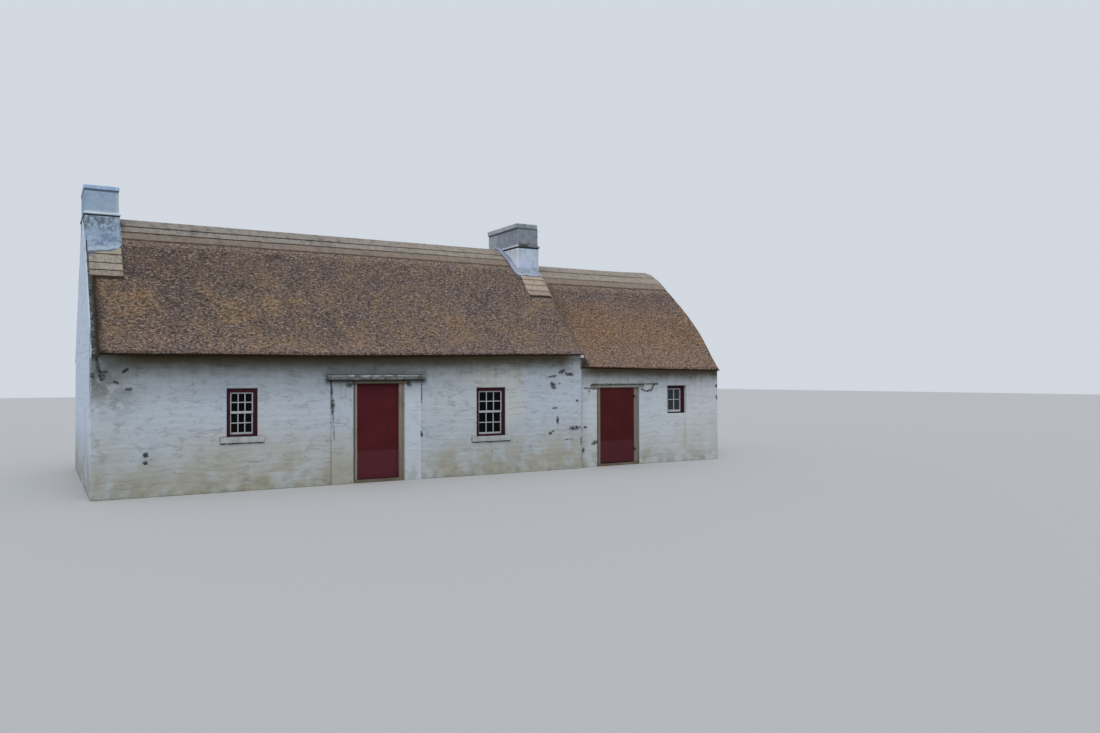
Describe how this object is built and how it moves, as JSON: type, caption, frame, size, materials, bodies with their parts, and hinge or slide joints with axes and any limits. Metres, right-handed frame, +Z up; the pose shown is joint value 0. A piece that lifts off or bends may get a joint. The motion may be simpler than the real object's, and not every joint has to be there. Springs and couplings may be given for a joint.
{
  "type": "thatched cottage",
  "caption": "Long low thatched stone cottage: limewashed walls, gable chimneys, a lower extension on one end, hinged plank doors.",
  "frame": {"origin": "on the ground, under the middle of the cottage's length and depth", "axes": "+X along the front wall from the left-hand chimney gable to the extension, +Y from the front wall to the back wall, +Z up"},
  "size_m": [14.2, 6.406, 5.91],
  "materials": {
    "limewash": "matt limewash over rubble stone",
    "weathered_lime": "matt weathered lime render",
    "stone": "matt dressed stone",
    "earth_floor": "matt beaten clay and flags",
    "thatch": "rough cut reed thatch, weathered",
    "straw": "rough pale straw",
    "roof_timber": "bare round timber",
    "frame_wood": "weathered khaki paint",
    "door_paint": "satin maroon paint",
    "red_paint": "satin dark red paint",
    "white_paint": "satin white paint",
    "glass": "clear window glass, dark room behind"
  },
  "bodies": {
    "cottage": {"back_wall": "limewash", "back_window_frame": "red_paint", "back_window_glass": "glass", "back_window_sash": "white_paint", "back_window_sill": "stone", "cross_gable_wall": "limewash", "extension_back_wall": "limewash", "extension_door_frame": "frame_wood", "extension_floor": "earth_floor", "extension_front_wall_left": "limewash", "extension_front_wall_over_door": "limewash", "extension_front_wall_right": "limewash", "extension_ridge_cap": "straw", "extension_ridge_pole": "roof_timber", "extension_thatch_back": "thatch", "extension_thatch_front": "thatch", "front_wall_left": "limewash", "front_wall_over_door": "limewash", "front_wall_right": "limewash", "left_chimney_back_apron": "straw", "left_chimney_cap": "weathered_lime", "left_chimney_front_apron": "straw", "left_chimney_stack": "limewash", "left_gable_wall": "limewash", "left_window_frame": "red_paint", "left_window_glass": "glass", "left_window_sash": "white_paint", "left_window_sill": "stone", "main_door_frame": "frame_wood", "main_door_surround": "limewash", "main_floor": "earth_floor", "main_ridge_cap": "straw", "main_ridge_pole": "roof_timber", "main_thatch_back": "thatch", "main_thatch_front": "thatch", "middle_chimney_back_apron": "straw", "middle_chimney_cap": "weathered_lime", "middle_chimney_front_apron": "straw", "middle_chimney_stack": "limewash", "right_gable_wall": "limewash", "right_window_frame": "red_paint", "right_window_glass": "glass", "right_window_sash": "white_paint", "right_window_sill": "stone", "small_window_frame": "red_paint", "small_window_glass": "glass", "small_window_sash": "white_paint"},
    "main_door": {"main_door_leaf": "door_paint"},
    "extension_door": {"extension_door_leaf": "door_paint"}
  },
  "joints": [
    {"name": "main_door_hinge", "type": "hinge", "parent": "cottage", "child": "main_door", "pos_m": [-2.3925, -2.961, 1], "axis": [0, 0, 1], "range_deg": [0, 95]},
    {"name": "extension_door_hinge", "type": "hinge", "parent": "cottage", "child": "extension_door", "pos_m": [4.4425, -3.014, 1], "axis": [0, 0, 1], "range_deg": [0, 100]}
  ]
}
